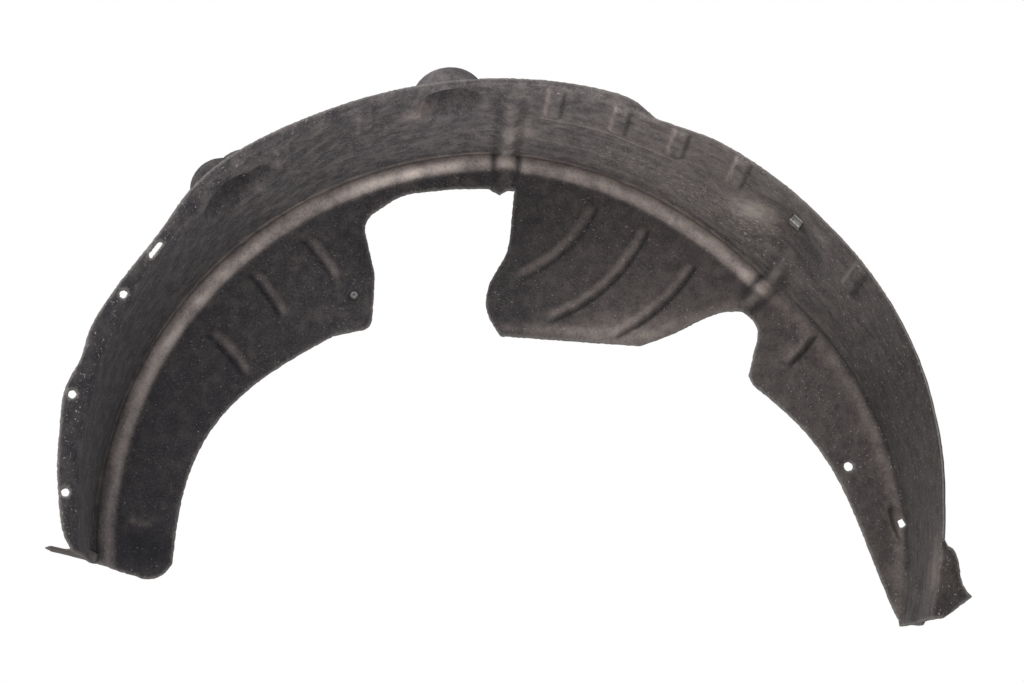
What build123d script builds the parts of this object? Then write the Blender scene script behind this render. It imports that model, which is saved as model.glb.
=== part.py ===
"""Rear wheel arch liner, moulded in one piece from needle felt.

Sizes are in millimetres.  The liner is drawn about the wheel's axis, which
runs along Y: X points to the rear leg, Y inboard, away from the wheel's open
side, and Z up.  At the end it is moved, so that the origin is the centre of
the rear leg's round fixing hole, on the wall's wheel side.
"""
from build123d import *
from math import acos, atan2, cos, degrees, radians, sin
import os

# Felt and overall form
FELT = 4.0                # thickness of the pressed felt
DEPTH = 164.0             # from the rim edge to the back of the wall
REACH = 1.6 * DEPTH       # how far below the axis the cutting tools go
OVER = 12.0               # how far a cutting tool runs past a face

# Band, wheel side: (angle, radius) where each arc starts, bends and ends
MOUTH = [(-24, 389), (-12, 391), (-1, 392), (16, 398), (41, 395), (50, 395), (60, 393.3),
         (65, 389), (69.5, 387.5), (80, 393), (92, 394), (140, 385), (197, 374)]
CORNER = [(-24, 400), (-12, 401), (-1, 400), (16, 394.5), (41, 378), (50, 379), (60, 382),
          (65, 384.4), (69.5, 386.4), (80, 390.5), (92, 394), (140, 388), (197, 387)]

# Flat outer flange, edge from the front foot over the top, as (angle, radius)
FLANGE_EDGE = [(189.5, 382), (187, 389), (182.5, 393.3), (177.5, 397.2), (172, 400.7),
               (167, 404), (163.3, 399.8), (159.5, 402.2), (155, 401.2), (150.5, 398.9),
               (144.5, 397.6), (141, 400), (137.5, 404.5), (119, 403.2), (104, 400.9),
               (88, 401.7), (76, 402.6), (71.4, 399), (67.5, 389)]
FLANGE_INNER_R = 372.0    # the flange plate starts inside the band

# Corner bead between band and wall
BEAD_R = 10.0             # its rounding
BEAD_RISE = 7.0           # how far it stands off the wall
BEAD_INSET = 9.0          # its middle, inside the corner
BEAD_START_ANGLE = 41     # the corner's bend where it starts
BEAD_STEP = 60.0          # between the points its path runs through

# Feet: bottom planes, as a point and the plane's fall along X and Y
FRONT_FOOT = (-386.0, DEPTH, -36.0)
FRONT_FALL_X = -0.31
TONGUE_FALL_X = -0.24
FOOT_FALL_Y = 0.134
REAR_FOOT = (388.0, DEPTH, -92.0)
REAR_FALL_X = 0.05

# Wall outline, as X, Z points
HEEL_X = -345.0
TOE = [(-324, -50), (-311, -36)]
FRONT_LEG = [(-306, 20), (-280.5, 94.5), (-235, 146), (-164, 193.5)]
WINDOW = [(-126, 202.5), (-123.5, 258), (-137.5, 317), (-97, 347), (-42, 354), (-9, 354.5)]
WINDOW_R = [12, 60, 24, 60, 60]
LOBE = [(2.5, 347.5), (9.5, 352), (18, 352.5)]
TAB_SIDE = [(14.5, 314), (9.5, 284), (-6.5, 253), (-10, 222), (3.5, 196)]
TAB_FOOT = [(141.5, 187.5), (180, 202.5), (226, 224)]
NOTCH = [(251, 222.5), (262, 208.5), (259.5, 188), (251.5, 157.5)]
REAR_LEG = [(255.5, 148), (305, 100.5), (335, 53), (362, -18.5), (386.5, -92), (397, -125)]

# Ribs raised from the wall towards the wheel, as start, bend and end
RIB_R = 7.0
RIB_RISE = 5.0
WALL_RIBS = [
    [(99, 340), (68, 292), (18, 258)],
    [(151, 316), (112, 256), (48, 214)],
    [(199, 278), (163, 232), (113, 198)],
    [(-246, 261), (-227, 238), (-211, 212)],
    [(-195, 299), (-176, 277), (-160, 252)],
    [(-286, 198), (-264, 176), (-244, 151)],
    [(319, 205), (303, 186), (286, 168)],
]

# Broad ribs that cross the corner: angle on the band, depth where it starts
CENTRE_RIB = {"angle": 88.7, "start": 26.0, "r": 18.0, "rise": 6.0, "drop": 39.0}
CROSS_RIB = {"angle": 42.6, "start": 122.0, "r": 10.0, "rise": 7.0, "drop": 34.0}

# Short raised bars on the band, near its rim
BAR_ANGLES = (32.8, 54.8, 64.3, 73.2, 82.8, 109.8, 122.5)
BAR_WIDTH = 14.0
BAR_START = 6.0
BAR_LENGTH = 50.0
BAR_RISE = 4.0

# Domes pressed outwards: angle, depth, radius of the ball, height on the band
DOME_ROOT = 8.0           # how far a dome's tool starts inside the band
SHALLOW_DOME = (44.6, 0.512 * DEPTH, 0.72 * DEPTH, 0.0915 * DEPTH)
DOMES = [(97.7, 38, 33, 28), (132.2, 30, 25, 31), (128.6, 44, 26, 29),
         (-11.5, 0.61 * DEPTH, 60, 6), SHALLOW_DOME]

# Oval pocket pressed inboard out of the wall, and the slit in its floor
POCKET = {"at": (391.5, 6.5), "half_long": 20.0, "half_wide": 5.5, "turn": -76, "deep": 5.0}
SLIT = {"at": (393, 8), "length": 9.5, "width": 4.5}

# Holes
WALL_HOLE = (346.0, 65.0)
WALL_HOLE_R = 5.0
RIM_HOLES = [(152.9, 391.0), (168.0, 397.0), (181.1, 388.5)]
RIM_HOLE_R = 4.25
RIM_SLOT = {"angle": 145.4, "radius": 389.8, "length": 19.0, "width": 7.5}
PIN_HOLE = (-143.5, 235.5)
PIN_HOLE_R = 4.6
CLIP_HOLE_R = 8.5
CLIP_HOLE_LEAN = -16.7    # from the middle of the shallow dome towards the rim

# Outer flare of the rear foot and tongue of the front foot
FLARE = [(392, -45), (402, -57), (407, -87), (413, -95), (396, -107.5), (383, -113), (376, -60)]
TONGUE_OUT = 41.0
TONGUE_DEEP = 84.0
TONGUE_THICK = 3.0
TONGUE_TAPER = 14.0       # how much narrower it is at its outboard end

# Push pin left in the front wall hole, and sheet clip left on the dome's hole
PIN_HEAD_R = 5.6
PIN_HEAD_H = 2.0
PIN_CENTRE_R = 3.5
PIN_CENTRE_H = 0.8
PIN_SHANK_R = 4.3
PIN_LENGTH = 14.0
PIN_DIMPLE_R = 0.8
CLIP_LENGTH = 14.0
CLIP_WIDTH = 12.0
CLIP_SHEET = 1.0
CLIP_LAP = 8.5            # how much of it lies over the felt
CLIP_GAP = 0.4            # between clip and felt

WALL_FACE = DEPTH - FELT


def polar(radius, angle, y=0.0):
    """Point at an angle about the wheel's axis, at depth y."""
    return Vector(radius * cos(radians(angle)), y, radius * sin(radians(angle)))


def on_wall(point, y):
    """Point of the wall outline, at depth y."""
    return Vector(point[0], y, point[1])


def band_radius(angle, y):
    """Radius of the band's wheel side, between its listed angles."""
    edges = []
    for ring in (MOUTH, CORNER):
        pairs = list(zip(ring, ring[1:]))
        (a0, r0), (a1, r1) = next(p for p in pairs if p[0][0] <= angle <= p[1][0])
        edges.append(r0 + (r1 - r0) * (angle - a0) / (a1 - a0))
    return edges[0] + (edges[1] - edges[0]) * y / DEPTH


def ring_wire(ring, grow, y, floor):
    """Arcs through the ring's points, closed by straight runs below the feet."""
    points = [polar(radius + grow, angle, y) for angle, radius in ring]
    edges = [ThreePointArc(*points[i:i + 3]) for i in range(0, len(points) - 1, 2)]
    low_front = Vector(points[-1].X, y, -floor)
    low_rear = Vector(points[0].X, y, -floor)
    edges += [Line(points[-1], low_front), Line(low_front, low_rear), Line(low_rear, points[0])]
    return Wire(edges)


def band_block():
    """The band and wall filled in, on their outer side."""
    return Solid.make_loft(
        [ring_wire(MOUTH, FELT, 0, REACH), ring_wire(CORNER, FELT, DEPTH, REACH)], ruled=True)


def wheel_space():
    """The space that the band and wall close in, open at the mouth."""
    floor = REACH + OVER
    return Solid.make_loft(
        [ring_wire(MOUTH, 0, -OVER, floor), ring_wire(MOUTH, 0, 0, floor),
         ring_wire(CORNER, 0, WALL_FACE, floor)], ruled=True)


def plate(edges, y, thick):
    """A flat plate square to the wheel's axis, from edges drawn at depth y."""
    return Solid.extrude(Face(Wire(edges)), Vector(0, thick, 0))


def flange():
    """Flat outer flange with its wavy edge."""
    edge = [polar(radius, angle) for angle, radius in FLANGE_EDGE]
    start, end = FLANGE_EDGE[0][0], FLANGE_EDGE[-1][0]
    inner = [polar(FLANGE_INNER_R, angle) for angle in (start, (start + end) / 2, end)]
    edges = [Spline(*edge), Line(edge[-1], inner[2]), ThreePointArc(*reversed(inner)),
             Line(inner[0], edge[0])]
    return plate(edges, 0, FELT)


def flare():
    """Outer flare of the rear foot."""
    points = [on_wall(point, 0) for point in FLARE]
    edges = [Spline(*points[:3]), Line(points[2], points[3]), Line(points[3], points[4]),
             Line(points[4], points[5]), Line(points[5], points[6]), Line(points[6], points[0])]
    return plate(edges, 0, FELT)


def at_wall(point, turn=0.0):
    """Place on the wall's wheel side, its Z pointing inboard, turned about Y."""
    return Pos(point[0], WALL_FACE, point[1]) * Rot(0, -turn, 0) * Rot(-90, 0, 0)


def foot_plane(point, fall_x):
    """Plane of a foot's bottom edge, facing up."""
    normal = Vector(-fall_x, -FOOT_FALL_Y, 1).normalized()
    out = Vector(1, 0, fall_x).normalized()
    return Plane(origin=Vector(*point), x_dir=out, z_dir=normal)


def tongue():
    """Thin tongue that turns outwards along the bottom of the front foot."""
    angle = 180 + degrees(atan2(-FRONT_FOOT[2], -FRONT_FOOT[0]))
    root, far_root = [polar(band_radius(angle, y) + FELT / 2, angle).X - FRONT_FOOT[0]
                      for y in (DEPTH, DEPTH - TONGUE_DEEP)]
    outline = Polyline(
        (root, 0), (-TONGUE_OUT, 0), (0.3 * TONGUE_TAPER - TONGUE_OUT, -0.6 * TONGUE_DEEP),
        (TONGUE_TAPER - TONGUE_OUT, -TONGUE_DEEP), (far_root, -TONGUE_DEEP), close=True)
    sheet = extrude(make_face(outline), TONGUE_THICK)
    return foot_plane(FRONT_FOOT, TONGUE_FALL_X) * sheet


def bar_along(path, radius):
    """Round bar along a path, with flat ends."""
    return sweep(Plane(origin=path @ 0, z_dir=path % 0) * Circle(radius), path=path)


def tube(path, radius):
    """Round bar along a path, with ball ends."""
    balls = [Pos(path @ end) * Sphere(radius) for end in (0, 1)]
    return bar_along(path, radius) + balls


def wall_ribs(grow):
    """Ribs of the wall, as round bars sunk behind its face."""
    y = WALL_FACE - RIB_RISE + RIB_R
    return [tube(ThreePointArc(*[on_wall(point, y) for point in rib]), RIB_R + grow)
            for rib in WALL_RIBS]


def crossing_rib(rib, grow):
    """Broad rib that runs along the band, over the corner and down the wall."""
    sink = rib["r"] - rib["rise"]
    corner = band_radius(rib["angle"], DEPTH)
    start = polar(band_radius(rib["angle"], rib["start"]) + sink, rib["angle"], rib["start"])
    turn = polar(corner + sink, rib["angle"], WALL_FACE + sink)
    end = polar(corner - rib["drop"], rib["angle"], WALL_FACE + sink)
    path = FilletPolyline(start, turn, end, radius=rib["r"] + BEAD_R)
    return tube(path, rib["r"] + grow)


def bead(grow):
    """Bead along the inside of the corner, from the crossing rib to the front foot."""
    y = WALL_FACE - BEAD_RISE + BEAD_R
    bends = [polar(radius - BEAD_INSET, angle, y) for angle, radius in CORNER
             if angle >= BEAD_START_ANGLE]
    arcs = [ThreePointArc(*bends[i:i + 3]) for i in range(0, len(bends) - 1, 2)]
    points = []
    for arc in arcs:
        count = max(1, round(arc.length / BEAD_STEP))
        points += [arc @ (step / count) for step in range(count)]
    return bar_along(Spline(*points, arcs[-1] @ 1), BEAD_R + grow)


def bars(grow):
    """Short raised bars across the band."""
    made = []
    for angle in BAR_ANGLES:
        face = band_radius(angle, BAR_START + BAR_LENGTH / 2)
        block = Box(2 * OVER, BAR_LENGTH + 2 * grow, BAR_WIDTH + 2 * grow,
                    align=(Align.MIN, Align.CENTER, Align.CENTER))
        place = Rot(0, -angle, 0) * Pos(face - BAR_RISE - grow, BAR_START + BAR_LENGTH / 2, 0)
        made.append(place * block)
    return made


def domes(grow):
    """Round hollows pressed outwards through the band."""
    made = []
    for angle, depth, ball, height in DOMES:
        band = band_radius(angle, depth)
        centre = band + height - ball
        root = band - DOME_ROOT
        reach = ball + grow
        turn = acos((root - centre) / reach)
        edge, mid, top = [(centre + reach * cos(turn * part), reach * sin(turn * part))
                          for part in (1, 0.5, 0)]
        profile = [Line((root, 0), edge), ThreePointArc(edge, mid, top), Line(top, (root, 0))]
        cap = revolve(make_face(profile), axis=Axis.X)
        made.append(Rot(0, -angle, 0) * Pos(0, depth, 0) * cap)
    return made


def pocket(grow):
    """Oval pocket pressed inboard out of the wall."""
    oval = Ellipse(POCKET["half_long"] + grow, POCKET["half_wide"] + grow)
    tool = extrude(oval, OVER + POCKET["deep"])
    return at_wall(POCKET["at"], POCKET["turn"]) * Pos(0, 0, grow - OVER) * tool


def front_foot_z(x):
    """Height of the front foot's bottom edge on the wall."""
    return FRONT_FOOT[2] + FRONT_FALL_X * (x - FRONT_FOOT[0])


def wall_cut():
    """Everything inside the wall's outline, as one tool through its depth."""
    y = -OVER
    heel = (HEEL_X, front_foot_z(HEEL_X))
    low = [(heel[0], -REACH), (REAR_LEG[-1][0], -REACH)]

    def at(points):
        return [on_wall(point, y) for point in points]

    edges = [Line(*at([low[0], heel])), ThreePointArc(*at([heel, *TOE])),
             Spline(*at([TOE[-1], *FRONT_LEG]))]
    edges.append(FilletPolyline(*at([FRONT_LEG[-1], *WINDOW]), radius=WINDOW_R))
    edges.append(Polyline(*at([WINDOW[-1], *LOBE])))
    edges.append(Spline(*at([LOBE[-1], *TAB_SIDE])))
    edges.append(Line(*at([TAB_SIDE[-1], TAB_FOOT[0]])))
    edges.append(Spline(*at([*TAB_FOOT, *NOTCH])))
    edges.append(Line(*at([NOTCH[-1], REAR_LEG[0]])))
    edges.append(Spline(*at(REAR_LEG)))
    edges += [Line(*at([REAR_LEG[-1], low[1]])), Line(*at([low[1], low[0]]))]
    return Solid.extrude(Face(Wire([e for edge in edges for e in edge.edges()])),
                         Vector(0, DEPTH + 2 * OVER, 0))


def foot_cuts():
    """Blocks that trim both feet along their sloping bottom edges."""
    block = Box(REACH, 3 * DEPTH, REACH, align=(Align.CENTER, Align.CENTER, Align.MAX))
    return [foot_plane(FRONT_FOOT, FRONT_FALL_X) * block,
            foot_plane(REAR_FOOT, REAR_FALL_X) * block]


def through(place, sketch):
    """A hole's cutting tool, straight through the felt from a place on its wheel side."""
    return place * extrude(sketch, FELT + OVER, both=True)


def at_flange(angle, radius):
    """Place on the flange's wheel side, its X along the edge."""
    spot = polar(radius, angle)
    return Pos(spot) * Rot(0, 90 - angle, 0) * Rot(-90, 0, 0)


def at_clip_hole(inboard=0.0):
    """Place on the shallow dome, inboard of its hole, with Z outwards and Y inboard."""
    angle, depth, ball, height = SHALLOW_DOME
    centre = band_radius(angle, depth) + height - ball
    lean = CLIP_HOLE_LEAN + degrees(inboard / ball)
    return Rot(0, -angle, 0) * Pos(centre, depth, 0) * Rot(0, 0, lean) * Pos(ball, 0, 0) * Rot(0, 90, 0)


def holes():
    """Fixing holes of the wall, the flange and the shallow dome."""
    made = [through(at_wall(WALL_HOLE), Circle(WALL_HOLE_R)),
            through(at_wall(PIN_HOLE), Circle(PIN_HOLE_R)),
            through(at_wall(SLIT["at"], POCKET["turn"]),
                    SlotOverall(SLIT["length"], SLIT["width"])),
            through(at_flange(RIM_SLOT["angle"], RIM_SLOT["radius"]),
                    SlotOverall(RIM_SLOT["length"], RIM_SLOT["width"])),
            through(at_clip_hole(), Circle(CLIP_HOLE_R))]
    made += [through(at_flange(*spot), Circle(RIM_HOLE_R)) for spot in RIM_HOLES]
    return made


def liner():
    """The whole moulding."""
    outer = band_block() + flange() + flare() + domes(FELT) + pocket(FELT)
    space = wheel_space() + domes(0) + pocket(0)
    for form in (wall_ribs, bead, bars):
        outer -= form(-FELT)
        space -= form(0)
    for rib in (CENTRE_RIB, CROSS_RIB):
        outer -= crossing_rib(rib, -FELT)
        space -= crossing_rib(rib, 0)
    shell = outer - space - wall_cut() - foot_cuts() + tongue()
    return shell - holes()


def push_pin():
    """Push pin that still fills the front wall hole."""
    x, z = PIN_HOLE
    head = Cylinder(PIN_HEAD_R, PIN_HEAD_H, align=(Align.CENTER, Align.CENTER, Align.MIN))
    head = fillet(head.edges().sort_by(Axis.Z)[-1], PIN_HEAD_H / 2)
    head += Cylinder(PIN_CENTRE_R, PIN_HEAD_H + PIN_CENTRE_H,
                     align=(Align.CENTER, Align.CENTER, Align.MIN))
    shank = Cylinder(PIN_SHANK_R, PIN_LENGTH, align=(Align.CENTER, Align.CENTER, Align.MAX))
    shank = chamfer(shank.edges().sort_by(Axis.Z)[0], PIN_SHANK_R / 3)
    dimple = Pos(0, 0, PIN_HEAD_H) * Cylinder(PIN_DIMPLE_R, PIN_HEAD_H)
    return Pos(x, WALL_FACE, z) * Rot(90, 0, 0) * (head + shank - dimple)


def sheet_clip():
    """Folded sheet clip, pushed over the inboard edge of the dome's hole."""
    leg = Box(CLIP_WIDTH, CLIP_LENGTH, CLIP_SHEET, align=(Align.CENTER, Align.CENTER, Align.MIN))
    web = Box(CLIP_WIDTH, CLIP_SHEET, FELT + 2 * (CLIP_GAP + CLIP_SHEET),
              align=(Align.CENTER, Align.MIN, Align.MIN))
    low = Pos(0, 0, -CLIP_GAP - CLIP_SHEET)
    clip = low * leg + Pos(0, 0, FELT + CLIP_GAP) * leg + low * Pos(0, -CLIP_LENGTH / 2, 0) * web
    edges = clip.edges().filter_by(Axis.X).group_by(Axis.Y)[0]
    return at_clip_hole(CLIP_HOLE_R + CLIP_LAP - CLIP_LENGTH / 2) * fillet(edges, CLIP_SHEET)


def build():
    """All pieces, in the liner's own frame."""
    home = Pos(-WALL_HOLE[0], -WALL_FACE, -WALL_HOLE[1])
    pieces = {"liner": liner(), "push_pin": push_pin(), "sheet_clip": sheet_clip()}
    return {name: home * piece for name, piece in pieces.items()}


if __name__ == "__main__":
    os.makedirs("parts", exist_ok=True)
    for name, piece in build().items():
        export_step(piece, os.path.join("parts", name + ".step"))
        box = piece.bounding_box()
        print(name, "solids", len(piece.solids()), "volume", round(piece.volume),
              "size", [round(v, 1) for v in (*box.min, *box.max)])
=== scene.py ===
"""Looks of the rear wheel arch liner: one moulded felt sheet, its push pin and its clip.

Lengths are in millimetres about the wheel's axis, which runs along Y, and are
moved into the part's own frame in metres when a mesh is made.
"""
import math
import bpy
import numpy as np
from mathutils import Matrix, Vector
from mathutils.geometry import delaunay_2d_cdt
from mathutils.kdtree import KDTree


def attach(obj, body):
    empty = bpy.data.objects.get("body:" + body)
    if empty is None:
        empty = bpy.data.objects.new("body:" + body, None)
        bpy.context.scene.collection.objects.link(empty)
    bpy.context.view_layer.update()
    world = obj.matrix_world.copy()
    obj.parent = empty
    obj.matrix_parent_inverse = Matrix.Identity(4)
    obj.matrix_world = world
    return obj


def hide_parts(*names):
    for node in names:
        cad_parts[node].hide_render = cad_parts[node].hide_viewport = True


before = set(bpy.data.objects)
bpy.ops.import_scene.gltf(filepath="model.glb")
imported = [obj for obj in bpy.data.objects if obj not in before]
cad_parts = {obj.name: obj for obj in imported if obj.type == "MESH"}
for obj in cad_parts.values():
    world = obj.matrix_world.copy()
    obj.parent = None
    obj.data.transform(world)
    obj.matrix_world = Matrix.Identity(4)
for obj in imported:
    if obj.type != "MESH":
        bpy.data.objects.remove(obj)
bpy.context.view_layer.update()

# Where the wheel's axis lies in the part's own frame
AXIS = np.array([346.0, 160.0, 65.0])

# Sheet
THICK = 4.0
EDGE_THICK = 2.6          # where it was trimmed
WALL_Y = 160.0
INNER_STEP = 2.5          # mesh spacing on the wheel side
OUTER_STEP = 4.6          # and on the back
FLAT_R = 390.0            # angles become lengths at this radius

MOUTH = [(-24, 389), (-12, 391), (-1, 392), (16, 398), (41, 395), (50, 395), (60, 393.3),
         (65, 389), (69.5, 387.5), (80, 393), (92, 394), (140, 385), (197, 374)]
CORNER = [(-24, 400), (-12, 401), (-1, 400), (16, 394.5), (41, 378), (50, 379), (60, 382),
          (65, 384.4), (69.5, 386.4), (80, 390.5), (92, 394), (140, 388), (197, 387)]
FLANGE_EDGE = [(189.5, 382), (187, 389), (182.5, 393.3), (177.5, 397.2), (172, 400.7),
               (167, 404), (163.3, 399.8), (159.5, 402.2), (155, 401.2), (150.5, 398.9),
               (144.5, 397.6), (141, 400), (137.5, 404.5), (119, 403.2), (104, 400.9),
               (88, 401.7), (76, 402.6), (71.4, 399), (69.2, 391.8)]
FLARE = [(396, -107.5), (413, -95), (407, -87), (402, -57), (399.5, -52.5), (395, -49.5)]
FRONT_FOOT = (-386.0, -36.0, -0.31)            # a point of its bottom plane, the fall along X
REAR_FOOT = (388.0, -92.0, 0.05)
FOOT_Y = 164.0                                 # where that point lies, at the back of the wall
FOOT_FALL_Y = 0.134
FRONT_FOOT_ANGLES = (2.9, 3.6)                 # between which the foot is looked for
REAR_FOOT_ANGLES = (-0.5, 0.0)
TONGUE = (41.0, 84.0, 3.0, 14.0)               # out, deep, thick, how much narrower at its end
TONGUE_FALL_X = -0.24
HEEL_X = -345.0
TOE = [(-324, -50), (-311, -36)]
FRONT_LEG = [(-306, 20), (-280.5, 94.5), (-235, 146), (-164, 193.5)]
WINDOW = [(-126, 202.5), (-123.5, 258), (-137.5, 317), (-97, 347), (-42, 354), (-9, 354.5)]
WINDOW_R = [12, 60, 24, 60, 60]
LOBE = [(2.5, 347.5), (9.5, 352), (18, 352.5)]
TAB_SIDE = [(14.5, 314), (9.5, 284), (-6.5, 253), (-10, 222), (3.5, 196)]
TAB_FOOT = [(141.5, 187.5), (180, 202.5), (226, 224)]
NOTCH = [(251, 222.5), (262, 208.5), (259.5, 188), (251.5, 157.5)]
REAR_LEG = [(255.5, 148), (305, 100.5), (335, 53), (362, -18.5), (386.5, -92)]

WALL_RIBS = [
    [(99, 340), (68, 292), (18, 258)],
    [(151, 316), (112, 256), (48, 214)],
    [(199, 278), (163, 232), (113, 198)],
    [(-246, 261), (-227, 238), (-211, 212)],
    [(-195, 299), (-176, 277), (-160, 252)],
    [(-286, 198), (-264, 176), (-244, 151)],
    [(319, 205), (303, 186), (286, 168)],
]
RIB_RISE = 5.0
# Lines on the wall where one side stands a little higher: points, step, fade
WALL_STEPS = [
    ([(45, 350), (41, 330), (22, 307)], -2.2, 26.0),
    ([(-147, 316), (-154, 297), (-131, 273)], 2.0, 30.0),
    ([(2, 209), (152, 203), (236, 238)], -1.6, 12.0),
    ([(-372, 12), (-314, 3)], 1.2, 16.0),
    ([(-349, 66), (-326, 49)], 1.6, 8.0),
    ([(350, 134), (338, 122)], 1.6, 8.0),
]
BAND_STEP = (61.5, 87.0, 66.0, 1.8)            # from angle, to angle, depth, height
CENTRE_RIB = (88.7, 26.0, 10.5, 6.0, 39.0)     # angle, start depth, half width, rise, drop
CROSS_RIB = (42.6, 122.0, 9.0, 6.4, 46.0)
BEAD_START = 41.0
BEAD_R = 10.0
BEAD_RISE = 7.0
BEAD_INSET = 9.0
BARS = [(32.8, 0.6), (54.8, 1.0), (64.3, 1.0), (73.2, 1.0), (82.8, 0.9), (109.8, 0.45),
        (122.5, 0.35)]                         # angle, how sharply it is pressed
BAR = (6.0, 56.0, 7.0, 4.0)                   # from depth, to depth, half width, rise
DOMES = [(97.7, 38, 33, 28), (132.2, 30, 25, 31), (128.6, 44, 26, 29),
         (-11.5, 100, 60, 6), (44.6, 84, 118, 15)]
DOME_R = 388.0                                 # angles become lengths here for the domes
CLIP_HOLE_R = 395.0                            # and here for the clip's hole
POCKET = ((391.5, 6.5), 20.0, 5.5, -76.0, 5.0)
SLIT = ((393, 8), 9.5, 4.5, -76.0)
WALL_HOLES = [((346, 65), 5.0), ((-143.5, 235.5), 4.6)]
RIM_HOLES = [(152.9, 391.0, 4.25), (168.0, 397.0, 4.25), (181.1, 388.5, 4.25)]
RIM_SLOT = (145.4, 389.8, 19.0, 7.5)
CLIP_HOLE = (44.6, 50.1, 8.5)

# Brightness factor of the felt's colour, by angle; on the band it also holds painted shade where
# the key lamp falls full on it, lowest from 0 to 18 degrees
BAND_TONE_AND_SHADE = [(-20, 0.66), (0, 0.46), (18, 0.34), (34, 0.75), (45, 1.0), (62, 1.65), (85, 2.0),
             (110, 1.7), (135, 1.3), (165, 1.05), (195, 1.0)]
WALL_TONE = [(-20, 0.7), (15, 0.66), (50, 0.68), (90, 0.72), (120, 0.95), (150, 1.08),
             (195, 1.1)]

# Patches on the band, dusty, darker, paler and speckled (the first darker one is painted shade on
# the 44.6 degree hollow's side towards lower angles): angle, depth, size, squash, strength
DUSTY_BAND = [(50.5, 84, 21, 1.0, 0.75), (102.2, 50, 12, 1.0, 0.35), (87, 104, 16, 1.0, 0.3)]
DARK_AND_SHADED_BAND = [(39.5, 82, 26, 1.3, 0.5), (-12, 96, 26, 0.7, 0.6)]
PALE_BAND = [(99.5, 16, 13, 0.8, 0.5), (137.4, 14, 5, 1.0, 0.5), (40, 24, 10, 1.0, 0.5)]
SPECKLED_BAND = [(50.5, 84, 24, 1.0, 1.0), (102.2, 50, 16, 1.0, 1.0), (89, 110, 30, 1.0, 1.0),
                 (56, 118, 40, 0.5, 1.0), (70, 108, 30, 0.4, 1.0), (25, 60, 60, 0.4, 0.2)]
# And on the wall: X, Z, size, squash, strength
DARK_WALL = [(-335, -24, 30, 1.3, 0.55), (-135, 285, 26, 1.0, 0.4), (14, 318, 26, 1.0, 0.35),
             (12, 215, 26, 1.0, 0.35)]
# Dusty strokes on the wall: X, Z points, half width, strength
DUSTY_LINES = [([(2, 204), (152, 197), (238, 231)], 6.0, 0.3),
               ([(-353, 5), (-333, -1)], 3.0, 0.35)]


def circle_middle(three):
    """Middle of the circle through three points."""
    (ax, az), (bx, bz), (cx, cz) = three
    d = 2 * (ax * (bz - cz) + bx * (cz - az) + cx * (az - bz))
    sa, sb, sc = ax * ax + az * az, bx * bx + bz * bz, cx * cx + cz * cz
    return ((sa * (bz - cz) + sb * (cz - az) + sc * (az - bz)) / d,
            (sa * (cx - bx) + sb * (ax - cx) + sc * (bx - ax)) / d)


def ring_radius(ring, theta):
    """Radius at angles in radians, on the arcs through the ring's points, three by three."""
    theta = np.asarray(theta, float)
    out = np.zeros_like(theta)
    for i in range(0, len(ring) - 2, 2):
        three = ring[i:i + 3]
        points = [polar(radius, math.radians(angle)) for angle, radius in three]
        mx, mz = circle_middle(points)
        size = (points[0][0] - mx) ** 2 + (points[0][1] - mz) ** 2
        across = mx * np.sin(theta) - mz * np.cos(theta)
        radius = mx * np.cos(theta) + mz * np.sin(theta) \
            + np.sqrt(np.maximum(size - across ** 2, 0))
        first = -1e9 if i == 0 else math.radians(three[0][0])
        last = 1e9 if i + 3 >= len(ring) else math.radians(three[2][0])
        out = np.where((theta >= first) & (theta < last), radius, out)
    return out


def polar(radius, theta):
    return radius * math.cos(theta), radius * math.sin(theta)


def smooth_curve(points, step):
    """Points along a natural cubic spline through the given ones."""
    p = np.array(points, float)
    t = np.concatenate([[0], np.cumsum(np.hypot(*np.diff(p, axis=0).T))])
    h = np.diff(t)
    n = len(p)
    a = np.eye(n)
    b = np.zeros((n, 2))
    for i in range(1, n - 1):
        a[i, i - 1:i + 2] = h[i - 1], 2 * (h[i - 1] + h[i]), h[i]
        b[i] = 6 * ((p[i + 1] - p[i]) / h[i] - (p[i] - p[i - 1]) / h[i - 1])
    m = np.linalg.solve(a, b)
    s = np.linspace(0, t[-1], max(2, int(t[-1] / step) + 1))
    k = np.clip(np.searchsorted(t, s, side="right") - 1, 0, n - 2)
    lo, hi, w = (s - t[k])[:, None], (t[k + 1] - s)[:, None], h[k][:, None]
    return (m[k] * hi ** 3 + m[k + 1] * lo ** 3) / (6 * w) + (p[k] / w - m[k] * w / 6) * hi \
        + (p[k + 1] / w - m[k + 1] * w / 6) * lo


def rounded_corners(points, radii, step):
    """A run of straight lines with its inner corners rounded."""
    p = [np.array(q, float) for q in points]
    out = [p[0]]
    for i, radius in enumerate(radii, 1):
        back, on = p[i - 1] - p[i], p[i + 1] - p[i]
        back, on = back / np.linalg.norm(back), on / np.linalg.norm(on)
        half = math.acos(np.clip(back @ on, -1, 1)) / 2
        reach = radius / math.tan(half)
        middle = p[i] + (back + on) / np.linalg.norm(back + on) * radius / math.sin(half)
        first, last = p[i] + back * reach - middle, p[i] + on * reach - middle
        turn = math.acos(np.clip(first @ last / radius ** 2, -1, 1))
        for part in np.linspace(0, 1, max(3, int(turn * radius / step) + 1)):
            arm = math.sin((1 - part) * turn) * first + math.sin(part * turn) * last
            out.append(middle + arm / math.sin(turn))
    out.append(p[-1])
    return straight(out, step)


def straight(points, step):
    """Straight runs cut up into steps."""
    out = [np.array(points[0], float)]
    for a, b in zip(points, points[1:]):
        a, b = np.array(a, float), np.array(b, float)
        count = max(1, round(float(np.linalg.norm(b - a)) / step))
        out += [a + (b - a) * k / count for k in range(1, count + 1)]
    return np.array(out)


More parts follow.
